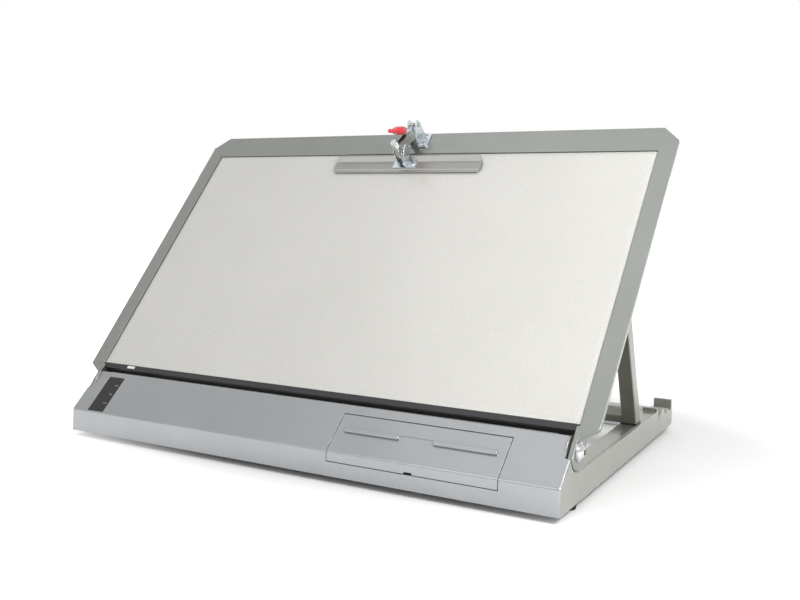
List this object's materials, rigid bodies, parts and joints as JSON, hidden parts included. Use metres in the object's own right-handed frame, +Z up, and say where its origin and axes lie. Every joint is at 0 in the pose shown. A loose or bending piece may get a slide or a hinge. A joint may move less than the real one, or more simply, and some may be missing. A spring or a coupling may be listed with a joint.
{
  "type": "tabletop drafting table",
  "caption": "Tabletop drafting table: sloping lit drawing board on a wedge console with storage lid, swinging prop on notched side rails, toggle clamp bar.",
  "frame": {"origin": "middle of the footprint, on the table top under the feet", "axes": "+X to the user's right along the hinge, +Y away from the user, +Z up"},
  "size_m": [0.7408, 0.42, 0.4232],
  "materials": {
    "silver_paint": "satin silver-grey enamel",
    "frame_paint": "satin grey enamel",
    "prop_paint": "satin warm grey enamel",
    "black_paint": "matt black",
    "tray_paint": "light grey powder coat",
    "panel_acrylic": "pearly translucent, fine satin",
    "clear_acrylic": "clear, polished edges",
    "white_film": "white film",
    "lamp_board": "white circuit board",
    "foam": "dark foam",
    "circuit_board": "green circuit board",
    "lamp_lens": "frosted lens",
    "smoked_window": "smoked black acrylic",
    "bin_plastic": "dark grey moulding",
    "black_plastic": "black moulding",
    "pale_plastic": "pale grey moulding",
    "nylon": "natural nylon",
    "rubber": "black rubber",
    "chrome_steel": "bright plated",
    "zinc_steel": "bright zinc plate",
    "screw_steel": "zinc plated screws",
    "arm_steel": "pressed steel, dulled zinc",
    "bar_aluminium": "satin anodised",
    "red_grip": "red dipped vinyl"
  },
  "bodies": {
    "base": {"right_side_rail": "silver_paint", "left_side_rail": "silver_paint", "rear_cross_member": "silver_paint", "cross_member_screws": "screw_steel", "rubber_feet": "rubber", "foot_screws": "screw_steel", "console_cover": "silver_paint", "console_floor": "silver_paint", "floor_screw_blocks": "bin_plastic", "floor_screws": "screw_steel", "storage_bin": "bin_plastic", "lid_catch": "black_plastic", "control_window": "smoked_window", "control_housing": "black_plastic", "control_board": "circuit_board", "indicator_lights": "lamp_lens", "power_inlet": "black_plastic", "hinge_bolts": "chrome_steel", "hinge_washers": "zinc_steel", "hinge_nuts": "zinc_steel", "lid_hinge_pins": "screw_steel"},
    "storage_lid": {"storage_lid": "silver_paint", "lid_ribs": "silver_paint"},
    "board": {"board_frame": "frame_paint", "hinge_bushes": "nylon", "drawing_panel": "panel_acrylic", "light_tray": "tray_paint", "tray_screws": "screw_steel", "light_guide": "clear_acrylic", "light_reflector": "white_film", "led_strips": "lamp_board", "guide_spacers": "foam", "light_driver": "circuit_board", "panel_ledge": "black_paint", "ledge_tab": "pale_plastic", "lower_rail": "black_paint", "prop_brackets": "zinc_steel", "bracket_screws": "screw_steel", "prop_pivot_bolts": "zinc_steel", "prop_pivot_nuts": "zinc_steel", "prop_pivot_washers": "nylon", "clamp_base": "zinc_steel", "clamp_base_screws": "screw_steel", "arm_rivets": "arm_steel", "link_rivet": "arm_steel"},
    "prop": {"prop_frame": "prop_paint", "prop_foot_pads": "rubber"},
    "clamp_arm": {"clamp_arm": "arm_steel", "handle_rivet": "arm_steel", "clamp_spindle": "zinc_steel", "spindle_nuts": "zinc_steel", "bar_bracket": "arm_steel", "bracket_pin": "zinc_steel", "bar_rivets": "zinc_steel", "clamp_bar": "bar_aluminium", "bar_grip_strip": "rubber"},
    "clamp_handle": {"handle_plates": "zinc_steel", "handle_grip": "red_grip"},
    "clamp_link": {"clamp_link": "arm_steel"}
  },
  "joints": [
    {"name": "board_tilt", "type": "hinge", "parent": "base", "child": "board", "pos_m": [0, -0.158, 0.064], "axis": [1, 0, 0], "range_deg": [0, 25]},
    {"name": "prop_swing", "type": "hinge", "parent": "board", "child": "prop", "pos_m": [0, 0.00091, 0.2272], "axis": [1, 0, 0], "range_deg": [0, 108]},
    {"name": "lid_open", "type": "hinge", "parent": "base", "child": "storage_lid", "pos_m": [0, -0.16775, 0.07003], "axis": [-1, 0, 0], "range_deg": [0, 100]},
    {"name": "clamp_arm_lift", "type": "hinge", "parent": "board", "child": "clamp_arm", "pos_m": [0, 0.11674, 0.40081], "axis": [-1, 0, 0], "range_deg": [0, 44]},
    {"name": "clamp_handle_turn", "type": "hinge", "parent": "clamp_arm", "child": "clamp_handle", "pos_m": [0, 0.10029, 0.40228], "axis": [-1, 0, 0], "range_deg": [0, 21]},
    {"name": "clamp_link_turn", "type": "hinge", "parent": "board", "child": "clamp_link", "pos_m": [0, 0.11707, 0.41675], "axis": [1, 0, 0], "range_deg": [0, 36]}
  ],
  "couplings": [
    {"joint": "clamp_handle_turn", "follows": "clamp_arm_lift", "ratio": 0.465},
    {"joint": "clamp_link_turn", "follows": "clamp_arm_lift", "ratio": 0.809}
  ]
}
